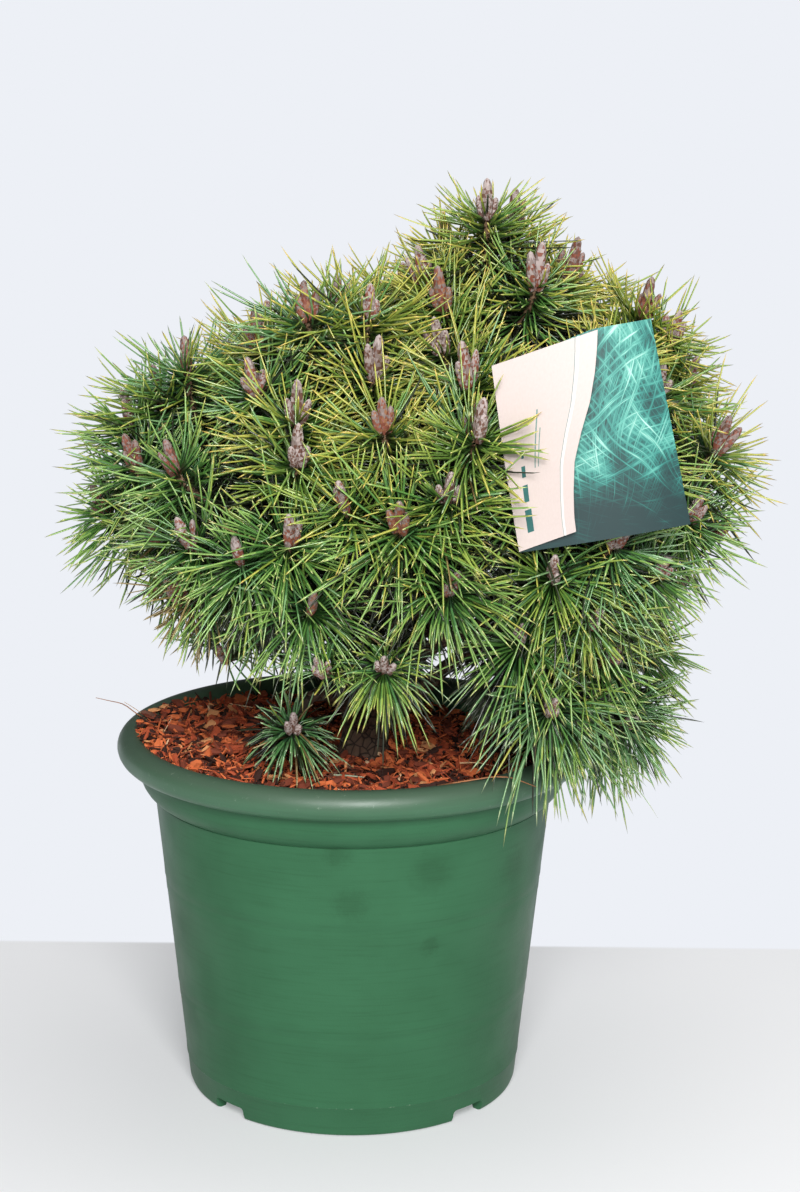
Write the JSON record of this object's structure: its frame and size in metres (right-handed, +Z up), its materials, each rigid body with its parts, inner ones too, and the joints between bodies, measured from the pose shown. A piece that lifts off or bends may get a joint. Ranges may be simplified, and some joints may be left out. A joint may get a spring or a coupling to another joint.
{
  "type": "potted mugo pine",
  "caption": "Dwarf mugo pine with a short trunk, fanned boughs and rounded masses of long needles, in a round green nursery pot with bark mulch and a card tag.",
  "frame": {"origin": "centre of the pot's flat foot, on the floor", "axes": "+Z up; -Y is the front, where the tag hangs; +X to the right seen from the front"},
  "size_m": [0.4425, 0.4167, 0.566],
  "materials": {
    "green_plastic": "satin moulded polypropylene",
    "potting_soil": "dark crumbly peat",
    "bark_chips": "red-brown shredded pine bark",
    "pine_bark": "rough grey-brown bark",
    "needles": "satin green needles with yellow-olive tips",
    "printed_card": "laminated printed card"
  },
  "bodies": {
    "root": {"pot": "green_plastic", "potting_soil": "potting_soil", "bark_mulch": "bark_chips", "trunk": "pine_bark", "tag": "printed_card", "bough_leader": "pine_bark", "bough_upper_front_left": "pine_bark", "bough_upper_front_right": "pine_bark", "bough_upper_back_right": "pine_bark", "bough_upper_back": "pine_bark", "bough_upper_back_left": "pine_bark", "bough_left": "pine_bark", "bough_front_left": "pine_bark", "bough_front": "pine_bark", "bough_front_right": "pine_bark", "bough_right": "pine_bark", "bough_back_right": "pine_bark", "bough_back": "pine_bark", "bough_back_left": "pine_bark", "bough_low_left": "pine_bark", "bough_low_front": "pine_bark", "bough_low_front_right": "pine_bark", "bough_low_right": "pine_bark", "bough_low_back_right": "pine_bark", "bough_low_back": "pine_bark", "bough_low_back_left": "pine_bark", "bough_sprig": "pine_bark", "foliage_leader": "needles", "foliage_upper_front_left": "needles", "foliage_upper_front_right": "needles", "foliage_upper_back_right": "needles", "foliage_upper_back": "needles", "foliage_upper_back_left": "needles", "foliage_left": "needles", "foliage_front_left": "needles", "foliage_front": "needles", "foliage_front_right": "needles", "foliage_right": "needles", "foliage_back_right": "needles", "foliage_back": "needles", "foliage_back_left": "needles", "foliage_low_left": "needles", "foliage_low_front": "needles", "foliage_low_front_right": "needles", "foliage_low_right": "needles", "foliage_low_back_right": "needles", "foliage_low_back": "needles", "foliage_low_back_left": "needles", "foliage_sprig": "needles"}
  },
  "joints": []
}
